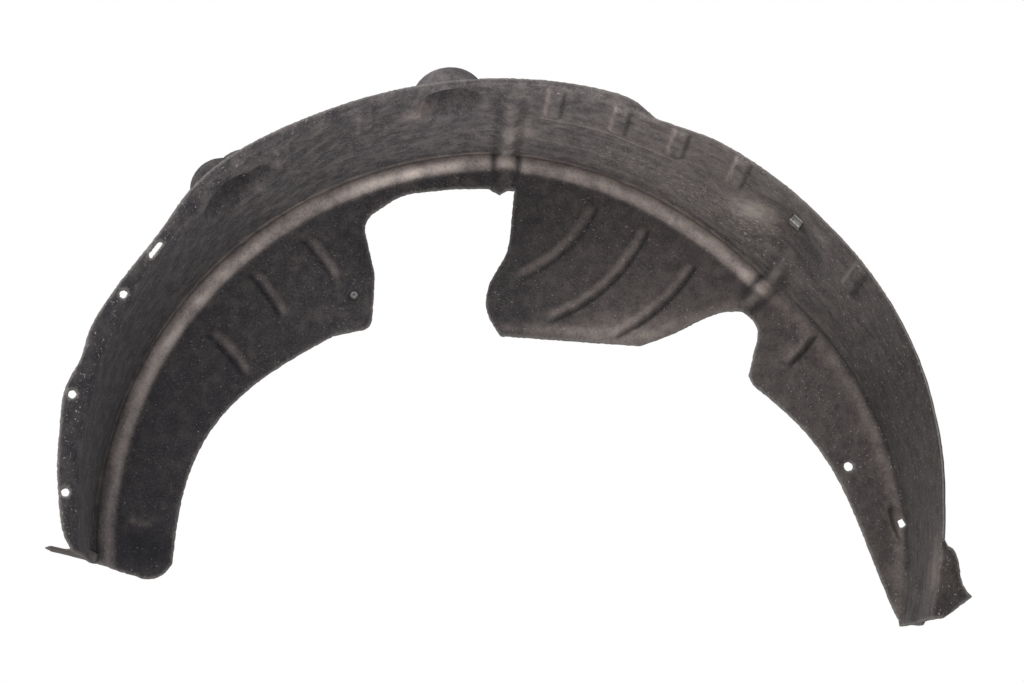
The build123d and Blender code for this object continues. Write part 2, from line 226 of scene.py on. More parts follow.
def arc_through(three, step):
    """Points on the arc through three points."""
    mx, mz = circle_middle(three)
    turns = list(np.unwrap([math.atan2(z - mz, x - mx) for x, z in three]))
    radius = math.hypot(three[0][0] - mx, three[0][1] - mz)
    count = max(2, int(abs(turns[2] - turns[0]) * radius / step) + 1)
    return np.array([(mx + radius * math.cos(t), mz + radius * math.sin(t))
                     for t in np.linspace(turns[0], turns[2], count)])


# The sheet as a map: theta about the axis, v along the section

def ramp(x, low, high):
    """0 below low, 1 above high, smooth between."""
    t = np.clip((x - low) / (high - low), 0, 1)
    return t * t * (3 - 2 * t)


def flange_share(theta):
    """1 where the mouth's edge turns outwards, 0 where it is plain."""
    deg = np.degrees(theta)
    return np.maximum(ramp(deg, 67.5, 70.5), ramp(-deg, 6.0, 8.5))


def mouth_bend(theta):
    """Size of the bend between band and flange."""
    return 0.6 + 5.0 * flange_share(theta)


def corner_bend(theta):
    """Size of the bend between band and wall; the rear leg has no bead and a wider one."""
    return 3.0 + 6.0 * ramp(-np.degrees(theta), -44.0, -36.0)


def section(theta, v):
    """Base surface on the wheel side: radius and y."""
    mouth, corner = ring_radius(MOUTH, theta), ring_radius(CORNER, theta)
    s = v - WALL_Y
    over = 0.5 * (s + np.hypot(s, corner_bend(theta)))
    along = 0.5 * (v + np.hypot(v, mouth_bend(theta)))
    out = along - v
    y = along - over
    radius = corner + (corner - mouth) / WALL_Y * (y - WALL_Y) + out - over
    return radius, y


def section_normal(theta, v):
    """Normal of the base surface towards the wheel, as radial and Y parts."""
    r0, y0 = section(theta, v - 0.2)
    r1, y1 = section(theta, v + 0.2)
    dr, dy = r1 - r0, y1 - y0
    size = np.hypot(dr, dy)
    return -dy / size, dr / size


def place(theta, v, lift):
    """Points of the surface, lifted by so much towards the wheel."""
    radius, y = section(theta, v)
    nr, ny = section_normal(theta, v)
    radius, y = radius + nr * lift, y + ny * lift
    return np.stack([radius * np.cos(theta), y, radius * np.sin(theta)], -1)


def about_axis(points):
    """Angles and radii of X, Z points."""
    p = np.asarray(points, float)
    theta = np.arctan2(p[:, 1], p[:, 0])
    return np.where(theta < -1.2, theta + 2 * math.pi, theta), np.hypot(p[:, 0], p[:, 1])


def wall_map(points):
    """Points of the wall, as X and Z, on the map."""
    theta, radius = about_axis(points)
    over = np.maximum(ring_radius(CORNER, theta) - radius, 1.0)
    return np.stack([theta, WALL_Y + over - corner_bend(theta) ** 2 / (4 * over)], -1)


def rim_map(points):
    """Points of the flange, as X and Z, on the map."""
    theta, radius = about_axis(points)
    bend = mouth_bend(theta)
    out = np.maximum(radius - ring_radius(MOUTH, theta), bend / 2)
    return np.stack([theta, bend ** 2 / (4 * out) - out], -1)


def foot_theta(foot, v, low, high):
    """Angle at which the surface meets a foot's sloping bottom plane."""
    x0, z0, fall = foot
    for _ in range(40):
        mid = 0.5 * (low + high)
        x, y, z = place(np.array([mid]), np.array([v]), 0)[0]
        above = z - z0 - fall * (x - x0) - FOOT_FALL_Y * (y - FOOT_Y)
        if (above > 0) == (foot is FRONT_FOOT):
            low = mid
        else:
            high = mid
    return mid


def outline(step):
    """The sheet's outline on the map, from the rear foot round the mouth and back."""
    flare = rim_map(straight(FLARE[:2], step)), rim_map(smooth_curve(FLARE[1:], step)[1:])
    plain = [(t, 0.0) for t in np.arange(math.radians(-6.0), math.radians(68.6), step / FLAT_R)]
    rim = [polar(radius, math.radians(angle)) for angle, radius in reversed(FLANGE_EDGE)]
    rim = rim_map(smooth_curve(rim, step))
    rim = rim[rim[:, 0] < foot_theta(FRONT_FOOT, 0.0, *FRONT_FOOT_ANGLES) - 0.002]
    heel = (HEEL_X, FRONT_FOOT[1] + FRONT_FOOT[2] * (HEEL_X - FRONT_FOOT[0]))
    front = [(foot_theta(FRONT_FOOT, v, *FRONT_FOOT_ANGLES), v)
             for v in np.arange(rim[-1][1] + step, WALL_Y + 60, step)]
    front = [q for q in front if place(np.array([q[0]]), np.array([q[1]]), 0)[0][0] < HEEL_X - 1]
    wall = [arc_through([heel, *TOE], step), smooth_curve([TOE[-1], *FRONT_LEG], step),
            rounded_corners([FRONT_LEG[-1], *WINDOW], WINDOW_R, step),
            straight([WINDOW[-1], *LOBE], step), smooth_curve([LOBE[-1], *TAB_SIDE], step),
            straight([TAB_SIDE[-1], TAB_FOOT[0]], step), smooth_curve([*TAB_FOOT, *NOTCH], step),
            straight([NOTCH[-1], REAR_LEG[0]], step), smooth_curve(REAR_LEG, step)]
    wall = wall_map(np.concatenate(wall))
    wall = wall[wall[:, 1] > WALL_Y + 2.5]
    back = [(foot_theta(REAR_FOOT, v, *REAR_FOOT_ANGLES), v)
            for v in np.arange(wall[-1][1] - step, -14.0, -step)]
    runs = [*flare, plain, rim, front, wall, back]
    return tidy_loop(np.concatenate([np.array(r, float).reshape(-1, 2) for r in runs]), step)


def to_flat(loop):
    return np.stack([loop[:, 0] * FLAT_R, loop[:, 1]], -1)


def tidy_loop(loop, step):
    """The loop without points that all but coincide."""
    flat = to_flat(loop)
    keep = [0]
    for i in range(1, len(flat)):
        if np.linalg.norm(flat[i] - flat[keep[-1]]) > 0.45 * step:
            keep.append(i)
    if np.linalg.norm(flat[keep[-1]] - flat[0]) < 0.45 * step:
        keep.pop()
    return loop[keep]


def turned(loop, left):
    """The loop, run so that its inside lies on the left, or on the right."""
    x, y = loop[:, 0], loop[:, 1]
    area = np.sum(x * np.roll(y, -1) - y * np.roll(x, -1))
    return loop if (area > 0) == left else loop[::-1]


def round_hole(centre, radius, mapping, step):
    count = max(16, int(2 * math.pi * radius / step))
    turn = np.arange(count) * 2 * math.pi / count
    return mapping(np.stack([centre[0] + radius * np.cos(turn),
                             centre[1] + radius * np.sin(turn)], -1))


def long_hole(centre, length, width, turn, mapping):
    """Slot with round ends, its length turned from X."""
    half, r = (length - width) / 2, width / 2
    ends = [np.linspace(-90, 90, 10), np.linspace(90, 270, 10)]
    pts = []
    for side, angles in zip((1, -1), ends):
        pts += [(side * half + r * math.cos(a), r * math.sin(a)) for a in np.radians(angles)]
    c, s = math.cos(math.radians(turn)), math.sin(math.radians(turn))
    pts = straight([*pts, pts[0]], 1.6)[:-1]
    return mapping(np.stack([centre[0] + c * pts[:, 0] - s * pts[:, 1],
                             centre[1] + s * pts[:, 0] + c * pts[:, 1]], -1))


def hole_loops():
    step = 1.5
    loops = [round_hole(centre, radius, wall_map, step) for centre, radius in WALL_HOLES]
    loops.append(long_hole(*SLIT, wall_map))
    for angle, radius, r in RIM_HOLES:
        loops.append(round_hole(polar(radius, math.radians(angle)), r, rim_map, step))
    angle, radius, length, width = RIM_SLOT
    loops.append(long_hole(polar(radius, math.radians(angle)), length, width, angle - 90, rim_map))
    angle, depth, r = CLIP_HOLE
    turn = np.arange(40) * 2 * math.pi / 40
    loops.append(np.stack([math.radians(angle) + r * np.cos(turn) / CLIP_HOLE_R,
                           depth + r * np.sin(turn)], -1))
    return loops


# Relief

def noise2(x, y, seed):
    """Smooth noise from -1 to 1 on a plane."""
    table = np.random.default_rng(seed).random((256, 256))
    xi, yi = np.floor(x).astype(int), np.floor(y).astype(int)
    fx, fy = x - xi, y - yi
    fx, fy = fx * fx * (3 - 2 * fx), fy * fy * (3 - 2 * fy)
    a, b = table[xi % 256, yi % 256], table[(xi + 1) % 256, yi % 256]
    c, d = table[xi % 256, (yi + 1) % 256], table[(xi + 1) % 256, (yi + 1) % 256]
    return 2 * ((a * (1 - fx) + b * fx) * (1 - fy) + (c * (1 - fx) + d * fx) * fy) - 1


def from_line(x, z, line):
    """Signed distance from a line of points, and how far along it, both in mm."""
    best = np.full(x.shape, 1e9)
    side, along = np.zeros(x.shape), np.zeros(x.shape)
    start = 0.0
    for (ax, az), (bx, bz) in zip(line, line[1:]):
        dx, dz = bx - ax, bz - az
        size = math.hypot(dx, dz)
        t = np.clip(((x - ax) * dx + (z - az) * dz) / size ** 2, 0, 1)
        ox, oz = x - ax - t * dx, z - az - t * dz
        dist = np.hypot(ox, oz)
        near = dist < best
        best = np.where(near, dist, best)
        side = np.where(near, np.sign(dx * oz - dz * ox), side)
        along = np.where(near, start + t * size, along)
        start += size
    return best * side, along, start


def wall_rib_lift(x, z, grow):
    """Ribs of the wall: a soft flank above and left, a steep one below and right."""
    lift = np.zeros(x.shape)
    for rib in WALL_RIBS:
        line = arc_through(rib, 4.0)
        near = (np.abs(x - np.mean(line[:, 0])) < 90) & (np.abs(z - np.mean(line[:, 1])) < 90)
        side, along, total = from_line(x[near], z[near], line)
        left = rib[0][0] > rib[2][0]
        across = side if left else -side
        soft, steep = 11.5 + grow, 4.6 + grow
        form = np.where(across < 0, np.cos(np.clip(across / soft, -1, 0) * math.pi / 2) ** 1.3,
                        np.cos(np.clip(across / steep, 0, 1) * math.pi / 2) ** 0.75)
        groove = -0.12 * np.exp(-((across - steep - 1.2) / 1.6) ** 2)
        ends = ramp(along, -1.0, 12.0) * ramp(total - along, -1.0, 12.0)
        rise = (RIB_RISE + 0.3 * grow) * (form + groove) * ends
        part = lift[near]
        lift[near] = np.where(np.abs(rise) > np.abs(part), rise, part)
    return lift


def wall_step_lift(x, z):
    """Low steps on the wall that fade out on their higher side."""
    lift = np.zeros(x.shape)
    for line, rise, fade in WALL_STEPS:
        side, along, total = from_line(x, z, line)
        ends = ramp(along, 0, 9) * ramp(total - along, 0, 9)
        size = np.abs(rise)
        across = side * np.sign(rise)
        lift += size * ramp(across, -1.2, 1.2) * np.exp(-np.maximum(across, 0) / fade) * ends
        lift -= 0.25 * size * np.exp(-((across + 2.6) / 1.8) ** 2) * ends
    return lift


def ridge(across, half, power=1.0):
    return np.cos(np.clip(across / half, -1, 1) * math.pi / 2) ** power


def crossing_lift(theta, v, rib, grow):
    """Broad rib along the band, over the corner and down the wall."""
    angle, start, half, rise, drop = rib
    across = (theta - math.radians(angle)) * np.where(v < WALL_Y, FLAT_R, FLAT_R - (v - WALL_Y))
    reach = ramp(v, start - 14, start + 16) * ramp(WALL_Y + drop + 12 - v, 0, 22)
    side = np.exp(-((np.abs(across) - half - 2.0) / 3.4) ** 2) * ramp(WALL_Y + drop - v, 0, 20)
    return (rise + grow * 0.5) * ridge(across, half + grow * 0.7, 0.6) * reach, side * reach


def bead_lift(theta, v, grow):
    """Bead inside the corner, from the crossing rib to the front foot."""
    across = v - WALL_Y - BEAD_INSET
    size = BEAD_R + grow
    form = np.sqrt(np.maximum(size ** 2 - across ** 2, 0)) - (BEAD_R - BEAD_RISE)
    form = 0.5 * (form + np.sqrt(form * form + 0.5)) - 0.1
    form = np.where(np.abs(across) < 14, form, 0)
    return np.maximum(form, 0) * ramp(np.degrees(theta), BEAD_START - 1.0, BEAD_START + 2.5)


def bar_lift(theta, v, grow):
    low, high, half, rise = BAR
    lift = np.zeros(theta.shape)
    for angle, share in BARS:
        across = np.abs((theta - math.radians(angle)) * FLAT_R)
        soft = ramp(half + 0.8 + grow - across, 0, 1.8) * ramp(v, low - 2 - grow, low + 3 - grow)
        lift += rise * math.sqrt(share) * soft * ramp(high + 3 + grow - v, 0, 6)
    return lift


def dome_lift(theta, v, grow):
    """Hollows pressed outwards, as negative lift."""
    lift = np.zeros(theta.shape)
    for angle, depth, ball, height in DOMES:
        across = (theta - math.radians(angle)) * DOME_R
        away = np.hypot(across, v - depth)
        size = ball + grow
        cap = np.sqrt(np.maximum(size ** 2 - away ** 2, 0)) - (ball - height)
        cap = 0.5 * (cap + np.sqrt(cap * cap + 3.0)) - 0.25
        cap = np.where(away < size + 8, np.maximum(cap, 0) * ramp(size + 6 - away, 0, 7), 0)
        lift = np.minimum(lift, -cap)
    return lift


def pocket_lift(x, z, grow):
    (cx, cz), long_half, wide_half, turn, deep = POCKET
    c, s = math.cos(math.radians(turn)), math.sin(math.radians(turn))
    a = ((x - cx) * c + (z - cz) * s) / (long_half + grow)
    b = (-(x - cx) * s + (z - cz) * c) / (wide_half + grow)
    return -deep * ramp(1.12 - np.hypot(a, b), 0, 0.3)


def lift_of(theta, v, grow):
    """Height of the relief towards the wheel; grow widens what is pressed outwards."""
    radius, _ = section(theta, v)
    x, z = radius * np.cos(theta), radius * np.sin(theta)
    on_wall = ramp(v, WALL_Y, WALL_Y + 6)
    lift = wall_rib_lift(x, z, -grow) * on_wall
    lift = np.maximum(lift, bead_lift(theta, v, -grow * 0.6))
    for rib in (CENTRE_RIB, CROSS_RIB):
        raised, side = crossing_lift(theta, v, rib, -grow)
        lift = np.maximum(lift, raised) - 3.4 * side
    lift = np.maximum(lift, bar_lift(theta, v, -grow * 0.4))
    first, last, depth, height = BAND_STEP
    deg = np.degrees(theta)
    plateau = ramp(depth - v, -1.5, 1.5) * np.exp(-np.maximum(depth - v, 0) / 40.0)
    lift += height * plateau * ramp(deg, first, first + 3) * ramp(last - deg, 0, 4)
    lift += wall_step_lift(x, z) * on_wall
    valley = np.exp(-((v - WALL_Y + 3.0) / 2.4) ** 2) * ramp(-deg, -41.0, -37.0)
    lift -= 1.6 * valley * ramp(deg, -14.0, -8.0)
    lift += dome_lift(theta, v, grow) * ramp(WALL_Y + 2 - v, 0, 16)
    lift += pocket_lift(x, z, grow) * on_wall
    return lift


def fine_relief(theta, v):
    """Unevenness of the pressed felt."""
    a, b = theta * FLAT_R, v
    low = noise2(a / 70 + 9, b / 55 + 4, 11) * 0.7 + noise2(a / 26, b / 22, 12) * 0.3
    lumps = noise2(a / 7.5, b / 6.5, 13) * 0.16 + noise2(a / 3.4, b / 3.1, 14) * 0.1
    return low + lumps


# Meshes

def spacing_rows(step):
    """Points of an even, staggered pattern over the map's box."""
    pts = []
    rows = np.arange(-32.0, WALL_Y + 215.0, step * 0.87)
    for k, v in enumerate(rows):
        wide = step * (1.0 if v < WALL_Y else FLAT_R / max(FLAT_R - (v - WALL_Y), 170.0))
        a = np.arange(-0.42 * FLAT_R, 3.42 * FLAT_R, wide) + (k % 2) * wide / 2
        pts.append(np.stack([a, np.full(a.shape, v)], -1))
    return np.concatenate(pts)


def inside(points, loop):
    """Which points lie in a closed loop."""
    x, y = points[:, 0], points[:, 1]
    result = np.zeros(len(points), bool)
    for (ax, ay), (bx, by) in zip(loop, np.roll(loop, -1, axis=0)):
        crosses = (ay > y) != (by > y)
        if ay != by:
            result ^= crosses & (x < ax + (bx - ax) * (y - ay) / (by - ay))
    return result


def near_loop(points, loop, gap):
    """Which points lie closer to a loop's points than gap."""
    tree = KDTree(len(loop))
    for i, (x, y) in enumerate(loop):
        tree.insert((x, y, 0), i)
    tree.balance()
    lo, hi = loop.min(0) - gap, loop.max(0) + gap
    close = np.zeros(len(points), bool)
    for i in np.nonzero(((points > lo) & (points < hi)).all(1))[0]:
        close[i] = tree.find((points[i, 0], points[i, 1], 0))[2] < gap
    return close


def triangulate(loops, step):
    """Even triangles between the outline, which comes first, and the holes."""
    flat = [to_flat(loop) for loop in loops]
    pts = spacing_rows(step)
    pts = pts + np.random.default_rng(5).uniform(-0.12, 0.12, pts.shape) * step
    keep = inside(pts, flat[0])
    pts = pts[keep]
    keep = np.ones(len(pts), bool)
    for hole in flat[1:]:
        keep &= ~inside(pts, hole)
    pts = pts[keep]
    for loop in flat:
        pts = pts[~near_loop(pts, loop, 0.62 * step)]
    corners = np.concatenate(flat + [pts])
    edges, start = [], 0
    for loop in flat:
        n = len(loop)
        edges += [(start + i, start + (i + 1) % n) for i in range(n)]
        start += n
    made = delaunay_2d_cdt([Vector(p) for p in corners.tolist()], edges, [], 0, 1e-6)
    points, tris = np.array([tuple(p) for p in made[0]]), np.array([list(t) for t in made[2]])
    if len(points) != len(corners):
        raise SystemExit("the outline crosses itself")
    centre = points[tris].mean(1)
    keep = inside(centre, flat[0])
    for hole in flat[1:]:
        keep &= ~inside(centre, hole)
    tris = tris[keep]
    a, b, c = points[tris[:, 0]], points[tris[:, 1]], points[tris[:, 2]]
    turn = (b[:, 0] - a[:, 0]) * (c[:, 1] - a[:, 1]) - (b[:, 1] - a[:, 1]) * (c[:, 0] - a[:, 0])
    tris[turn < 0] = tris[turn < 0][:, ::-1]
    return points, tris


def edge_distance(points, loops):
    """Distance of each point from the nearest cut edge, up to 12 mm."""
    every = np.concatenate([to_flat(loop) for loop in loops])
    tree = KDTree(len(every))
    for i, (x, y) in enumerate(every):
        tree.insert((x, y, 0), i)
    tree.balance()
    out = np.array([tree.find((x, y, 0))[2] for x, y in points])
    return np.minimum(out, 12.0)


def sheet_mesh():
    """The whole moulding as one closed mesh, with its map coordinates and masks."""
    loops = [turned(outline(INNER_STEP), True)] + [turned(h, False) for h in hole_loops()]
    inner_pts, inner_tris = triangulate(loops, INNER_STEP)
    outer_pts, outer_tris = triangulate(loops, OUTER_STEP)
    rim = sum(len(loop) for loop in loops)

    near = edge_distance(inner_pts, loops)
    theta, v = inner_pts[:, 0] / FLAT_R, inner_pts[:, 1]
    pinch = (THICK - EDGE_THICK) * (1 - ramp(near, 0, 7))
    lift = lift_of(theta, v, 0.0) + fine_relief(theta, v) * ramp(near, -4, 10) - pinch
    front = place(theta, v, lift)

    far = edge_distance(outer_pts, loops)
    theta_o, v_o = outer_pts[:, 0] / FLAT_R, outer_pts[:, 1]
    uneven = fine_relief(theta_o, v_o) * 0.8 * ramp(far, -4, 10)
    lift_o = lift_of(theta_o, v_o, THICK) + uneven - THICK
    back = place(theta_o, v_o, lift_o)

    # Cut edges: two rows between the faces, slightly bulged and ragged
    rng = np.random.default_rng(21)
    a, b = front[:rim], back[:rim]
    out = np.zeros((rim, 3))
    start = 0
    strips = []
    base_back = len(front) + 2 * rim
    for loop in loops:
        n = len(loop)
        ids = np.arange(start, start + n)
        ahead = np.roll(ids, -1)
        along = front[ahead] - front[np.roll(ids, 1)]
        across = np.cross(along, b[ids] - a[ids])
        out[ids] = -across / np.maximum(np.linalg.norm(across, axis=1), 1e-9)[:, None]
        rows = [ids, len(front) + ids, len(front) + rim + ids, base_back + ids]
        rows_ahead = [ahead, len(front) + ahead, len(front) + rim + ahead, base_back + ahead]
        for k in range(3):
            strips += [np.stack([rows[k], rows[k + 1], rows_ahead[k]], -1),
                       np.stack([rows_ahead[k], rows[k + 1], rows_ahead[k + 1]], -1)]
        start += n
    fray = rng.uniform(-0.25, 0.5, (2, rim))
    mid = [a + (b - a) * share + out * (0.35 + fray[k])[:, None]
           for k, share in enumerate((0.3, 0.7))]
    verts = np.concatenate([front, mid[0], mid[1], back])
    tris = np.concatenate([inner_tris] + strips + [outer_tris[:, ::-1] + base_back])
    maps = np.concatenate([inner_pts, inner_pts[:rim], inner_pts[:rim], outer_pts])
    edge = np.concatenate([near, np.zeros(2 * rim), far])
    lifts = np.concatenate([lift, np.zeros(2 * rim), lift_o + THICK])
    on_back = np.concatenate([np.zeros(len(front) + 2 * rim), np.ones(len(back))])
    return verts, tris, maps, edge, lifts, on_back


def slab(top, bottom):
    """Closed mesh between two grids of points, with a ragged edge all round."""
    n, m = top.shape[:2]
    ids = np.arange(n * m).reshape(n, m)
    a, b, c, d = ids[:-1, :-1], ids[1:, :-1], ids[1:, 1:], ids[:-1, 1:]
    upper = np.concatenate([np.stack([a, b, c], -1).reshape(-1, 3),
                            np.stack([a, c, d], -1).reshape(-1, 3)])
    lower = upper[:, ::-1] + n * m
    ring = np.concatenate([ids[:-1, 0], ids[-1, :-1], ids[:0:-1, -1], ids[0, :0:-1]])
    ahead = np.roll(ring, -1)
    sides = np.concatenate([np.stack([ring, ring + n * m, ahead + n * m], -1),
                            np.stack([ring, ahead + n * m, ahead], -1)])
    return np.concatenate([top.reshape(-1, 3), bottom.reshape(-1, 3)]), \
        np.concatenate([upper, lower, sides])


def tongue_mesh():
    """Thin tongue that turns outwards along the bottom of the front foot."""
    long, deep, thick, taper = TONGUE
    p, q = np.meshgrid(np.linspace(-0.12, 1, 30), np.linspace(0, 1, 44), indexing="ij")
    out = p * (long - taper * ramp(q, 0.2, 1.0) ** 1.3 + 0.5 * noise2(q * 17, q * 3, 31))
    along = -deep * q
    rim = np.minimum(np.minimum(1 - p, 0.5 - np.abs(q - 0.5)) * 12, 1)
    height = thick * (0.55 + 0.45 * rim) + 5.0 * np.exp(-np.maximum(out - 4.5, 0) / 3.0)
    wave = 0.7 * noise2(out / 13, along / 16, 32) + 0.12 * noise2(out / 3, along / 3, 33)
    x_dir = np.array([1.0, 0, TONGUE_FALL_X])
    x_dir /= np.linalg.norm(x_dir)
    z_dir = np.array([-TONGUE_FALL_X, -FOOT_FALL_Y, 1.0])
    z_dir /= np.linalg.norm(z_dir)
    y_dir = np.cross(z_dir, x_dir)
    home = np.array([FRONT_FOOT[0], FOOT_Y, FRONT_FOOT[1]])

    def at(level):
        return home - out[..., None] * x_dir + along[..., None] * y_dir + level[..., None] * z_dir

    low = at(0.5 + wave * 0.4)
    return slab(at(np.maximum(height + wave * 0.5, 1.8)), low) + (out, along)


def make_object(name, verts, tris, maps, masks):
    """A mesh object in the part's frame, with its map as UVs and its masks as point values."""
    mesh = bpy.data.meshes.new(name)
    mesh.from_pydata(((verts - AXIS) * 0.001).tolist(), [], tris.tolist())
    mesh.validate()
    uv = mesh.uv_layers.new(name="map")
    loops = np.zeros(len(mesh.loops), np.int32)
    mesh.loops.foreach_get("vertex_index", loops)
    uv.data.foreach_set("uv", (maps[loops] * 0.001).astype(np.float32).ravel())
    for key, values in masks.items():
        layer = mesh.attributes.new(key, "FLOAT", "POINT")
        layer.data.foreach_set("value", np.asarray(values, np.float32))
    mesh.shade_smooth()
    obj = bpy.data.objects.new(name, mesh)
    bpy.context.scene.collection.objects.link(obj)
    return obj


def spot(x, z, cx, cz, size, squash=1.0, turn=0.0):
    """Soft round patch on the wall or rim, seen along the wheel's axis."""
    c, s = math.cos(math.radians(turn)), math.sin(math.radians(turn))
    a, b = (x - cx) * c + (z - cz) * s, (-(x - cx) * s + (z - cz) * c) * squash
    return np.exp(-(a * a + b * b) / (size * size))


def streak_line(x, z, line, half):
    """Soft stroke along a line of X, Z points."""
    side, along, total = from_line(x, z, line)
    return np.exp(-(side / half) ** 2) * ramp(along, -half, half) * ramp(total - along, -half, half)


def wear_masks(maps, edge, lift, back):
    """Where the felt is dusty, dark, brown or trimmed, and where highlights and shade are painted
    into its colour along the relief, from its own form.
    """
    theta, v = maps[:, 0] / FLAT_R, maps[:, 1]
    deg = np.degrees(theta)
    radius, _ = section(theta, v)
    x, z = radius * np.cos(theta), radius * np.sin(theta)
    wall, rear = ramp(v, WALL_Y - 4, WALL_Y + 4), ramp(-deg, -105, -50)
    beaded = ramp(deg, BEAD_START - 2, BEAD_START + 3)
    bead = np.exp(-np.abs((v - WALL_Y - 9.5) / 11.0) ** 6) * beaded
    bead *= 1 - 0.62 * ramp(deg, 150, 182)
    crest = ramp(lift, 2.4, 4.4) * (v > WALL_Y + 22)
    shoulder = np.exp(-((v - WALL_Y - 9) / 7.0) ** 2) * (1 - beaded)
    for rib in (CENTRE_RIB, CROSS_RIB):
        bead *= 1 - 0.85 * crossing_lift(theta, v, rib, 0.0)[1]
    uneven = 0.5 + 0.5 * noise2(theta * FLAT_R / 19, v / 8, 41)
    bead *= (0.45 + 0.5 * uneven) * (1 - 0.22 * ramp(deg, 96, 112))
    # Pale mask: dust, plus painted highlights on the lit flanks of bars and wall ribs
    dust_and_highlight = 0.95 * bead + 0.12 * crest + 0.28 * shoulder + 0.1 * rear
    dust_and_highlight += 0.3 * spot(x, z, 120, 196, 60, 2.6, 8) * wall
    for line, half, strength in DUSTY_LINES:
        dust_and_highlight += strength * streak_line(x, z, line, half) * wall

    def on_band(angle, depth, size, squash, strength):
        across = (theta - math.radians(angle)) * FLAT_R * squash
        return strength * np.exp(-(across ** 2 + (v - depth) ** 2) / size ** 2)

    dust_and_highlight += sum(on_band(*patch) for patch in DUSTY_BAND)
    dust_and_highlight += on_band(-9.5, 20, 22, 1.0, 0.4) * (v < 70)
    # Painted highlight along each bar's left flank, where the lamp from the left would light it
    for angle, share in BARS:
        left = share * np.exp(-(((theta - math.radians(angle)) * FLAT_R - 7.4) / 1.7) ** 2)
        dust_and_highlight += 0.45 * left * ramp(v, 2, 8) * ramp(60 - v, 0, 6)
    first, last, depth, _ = BAND_STEP
    step_line = np.exp(-((v - depth) / 2.2) ** 2) * ramp(deg, first, first + 3)
    step_line *= ramp(last - deg, 0, 4)
    dust_and_highlight += 0.4 * step_line
    speckled = step_line + sum(on_band(*patch) for patch in SPECKLED_BAND)

    # Dark mask: the first term darkens the band towards the front leg; the second is painted shade
    # deep in the hollows pressed outwards
    dark_and_shade = 0.5 * ramp(deg, 122, 160) * (1 - bead) + 0.3 * ramp(-lift, 6, 20)
    for cx, cz, size, squash, strength in DARK_WALL:
        dark_and_shade += strength * spot(x, z, cx, cz, size, squash) * wall
    # Darker band patches; the first is painted shade on the hollow's side towards lower angles
    dark_and_shade += sum(on_band(*patch) for patch in DARK_AND_SHADED_BAND)
    dark_and_shade += 0.55 * spot(x, z, 370, -68, 16, 1.2) * ramp(v, 100, 150)
    # Painted shade along each bar's right flank, away from the lamp
    for angle, share in BARS:
        right = share * np.exp(-(((theta - math.radians(angle)) * FLAT_R + 8.4) / 1.9) ** 2)
        dark_and_shade += 0.75 * right * ramp(v, 2, 8) * ramp(60 - v, 0, 6)
    # Painted shade in the creases under and above the bead
    shade_under_bead = np.exp(-((v - WALL_Y - 24) / 4.0) ** 2) * beaded
    above = np.exp(-((v - WALL_Y + 6) / 3.4) ** 2) * ramp(deg, 47, 52) * ramp(88 - deg, 0, 10)
    dark_and_shade += 0.12 * shade_under_bead + 0.3 * above
    # Painted shade in the grooves beside the crossing ribs; their crests a little paler
    for rib in (CENTRE_RIB, CROSS_RIB):
        raised, side = crossing_lift(theta, v, rib, 0.0)
        dark_and_shade += 0.5 * side
        dust_and_highlight += 0.12 * ramp(raised, 4.5, 6.0)
    # Painted shadow line at the foot of each wall rib's steep flank, and paler along its soft
    # flank, partly dust and partly painted highlight
    for rib in WALL_RIBS:
        line = arc_through(rib, 4.0)
        side, along, total = from_line(x, z, line)
        across = side if rib[0][0] > rib[2][0] else -side
        ends = ramp(along, 0, 6) * ramp(total - along, 0, 6) * wall
        dark_and_shade += 0.95 * np.exp(-((across - 5.6) / 1.7) ** 2) * ends
        dust_and_highlight += 0.14 * np.exp(-((across + 1.5) / 4.0) ** 2) * ends
    # Painted shade in the groove along the rear leg's corner
    valley = np.exp(-((v - WALL_Y + 3) / 2.6) ** 2) * ramp(-deg, -42, -37) * ramp(deg, -9, -4)
    dark_and_shade += 0.7 * valley
    # Brightness factor by angle; on the band partly painted shade where the key lamp falls full on
    # it
    tone = np.interp(deg, *zip(*BAND_TONE_AND_SHADE)) * (1 - wall) + np.interp(deg, *zip(*WALL_TONE)) * wall
    tone *= 1 - 0.42 * ramp(-v, -1, 3)
    tone *= 1 + sum(on_band(*patch) for patch in PALE_BAND)
    # Paler on the bead's inner flank, partly dust and partly painted light where the lamp leaves it
    # in shade
    inner = np.exp(-((v - WALL_Y - 16) / 5.0) ** 2) * beaded
    tone *= 1 + (0.6 + 1.1 * ramp(deg, 92, 98) * ramp(118 - deg, 0, 8)) * inner
    return {"dust_and_highlight": np.clip(dust_and_highlight, 0, 1), "dark_and_shade": np.clip(dark_and_shade, 0, 1), "rear": rear, "tone": tone,
            "wall": wall, "speckled": np.clip(speckled, 0, 1),
            "trim": 1 - ramp(edge, 0.4, 2.6), "back": back}


def build_liner():
    verts, tris, maps, edge, lifts, back = sheet_mesh()
    masks = wear_masks(maps, edge, lifts, back)
    more, more_tris, out, along = tongue_mesh()
    tris = np.concatenate([tris, more_tris + len(verts)])
    verts = np.concatenate([verts, more])
    flat = np.stack([out.ravel() + 3.28 * FLAT_R, along.ravel() + 160], -1)
    maps = np.concatenate([maps, flat, flat])
    count = len(more)
    rim = (np.abs(out - out[-1:]) < 1.2).ravel()
    extra = {"dust_and_highlight": np.full(count, 0.3), "dark_and_shade": np.full(count, 0.1), "rear": np.zeros(count),
             "wall": np.zeros(count), "speckled": np.zeros(count), "tone": np.full(count, 0.7),
             "trim": np.concatenate([rim, rim]).astype(float), "back": np.zeros(count)}
    masks = {key: np.concatenate([masks[key], extra[key]]) for key in masks}
    return make_object("felt_liner", verts, tris, maps, masks)


# Materials

def new_material(name):
    mat = bpy.data.materials.new(name)
    mat.use_nodes = True
    mat.node_tree.nodes.clear()
    return mat, mat.node_tree


